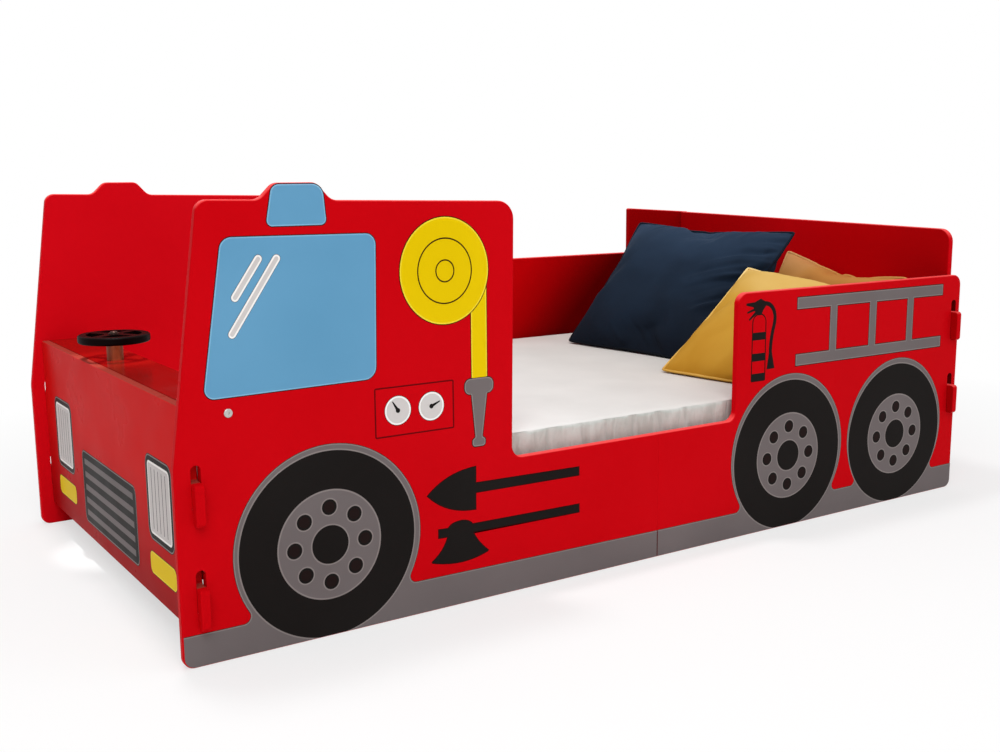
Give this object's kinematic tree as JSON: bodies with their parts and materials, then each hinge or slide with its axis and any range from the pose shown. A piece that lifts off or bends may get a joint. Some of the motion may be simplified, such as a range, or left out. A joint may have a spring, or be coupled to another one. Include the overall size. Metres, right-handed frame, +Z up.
{
  "type": "toddler bed",
  "caption": "Low toddler bed whose painted side boards are cut as a fire engine, with hooked end boards, a dash shelf with a turning wheel, a slatted base, mattress and cushions.",
  "frame": {"origin": "on the floor under the middle of the bed's bounding box", "axes": "+Z up, +X along the bed from the cab end to the rear end, -Y the pictured side"},
  "size_m": [1.466, 0.768, 0.575],
  "materials": {
    "red_lacquered_board": "satin red lacquer on fibreboard",
    "raw_board": "bare fibreboard",
    "pine": "planed bare pine",
    "beech": "turned bare beech",
    "black_lacquered_board": "satin black lacquer on fibreboard",
    "bright_fasteners": "bright plated",
    "zinc_screws": "zinc plated",
    "white_ticking": "woven cotton ticking over foam",
    "navy_velvet": "short-pile velvet, piped edge",
    "mustard_velvet": "short-pile velvet",
    "gold_velvet": "short-pile velvet"
  },
  "bodies": {
    "bed": {"near_cab_side": "red_lacquered_board", "far_cab_side": "red_lacquered_board", "near_rear_side": "red_lacquered_board", "far_rear_side": "red_lacquered_board", "front_panel": "red_lacquered_board", "rear_panel": "red_lacquered_board", "dash_shelf": "red_lacquered_board", "near_seam_plate": "raw_board", "far_seam_plate": "raw_board", "near_front_bearer": "pine", "far_front_bearer": "pine", "near_rear_bearer": "pine", "far_rear_bearer": "pine", "slat_01": "pine", "slat_02": "pine", "slat_03": "pine", "slat_04": "pine", "slat_05": "pine", "slat_06": "pine", "slat_07": "pine", "slat_08": "pine", "slat_09": "pine", "slat_10": "pine", "slat_11": "pine", "slat_12": "pine", "wheel_spindle": "beech", "seam_dowels": "beech", "shelf_screws": "bright_fasteners", "wheel_axle": "bright_fasteners", "lower_washer": "bright_fasteners", "upper_washer": "bright_fasteners", "nut_washer": "bright_fasteners", "axle_nut": "bright_fasteners", "seam_screws": "zinc_screws", "bearer_screws": "zinc_screws", "slat_screws": "zinc_screws"},
    "wheel": {"steering_wheel": "black_lacquered_board"},
    "mattress": {"mattress": "white_ticking"},
    "gold": {"gold_cushion": "gold_velvet"},
    "navy": {"navy_cushion": "navy_velvet"},
    "mustard": {"mustard_cushion": "mustard_velvet"}
  },
  "joints": [
    {"name": "wheel_turn", "type": "hinge", "parent": "bed", "child": "wheel", "pos_m": [-0.6685, 0.08, 0.3473], "axis": [0, 0, 1], "continuous": true},
    {"name": "mattress_lift", "type": "slide", "parent": "bed", "child": "mattress", "axis": [0, 0, 1], "range_m": [0, 0.05]},
    {"name": "gold_lift", "type": "slide", "parent": "mattress", "child": "gold", "axis": [0, 0, 1], "range_m": [0, 0.3]},
    {"name": "navy_lift", "type": "slide", "parent": "gold", "child": "navy", "axis": [0, 0, 1], "range_m": [0, 0.3]},
    {"name": "mustard_lift", "type": "slide", "parent": "navy", "child": "mustard", "axis": [0, 0, 1], "range_m": [0, 0.3]}
  ]
}
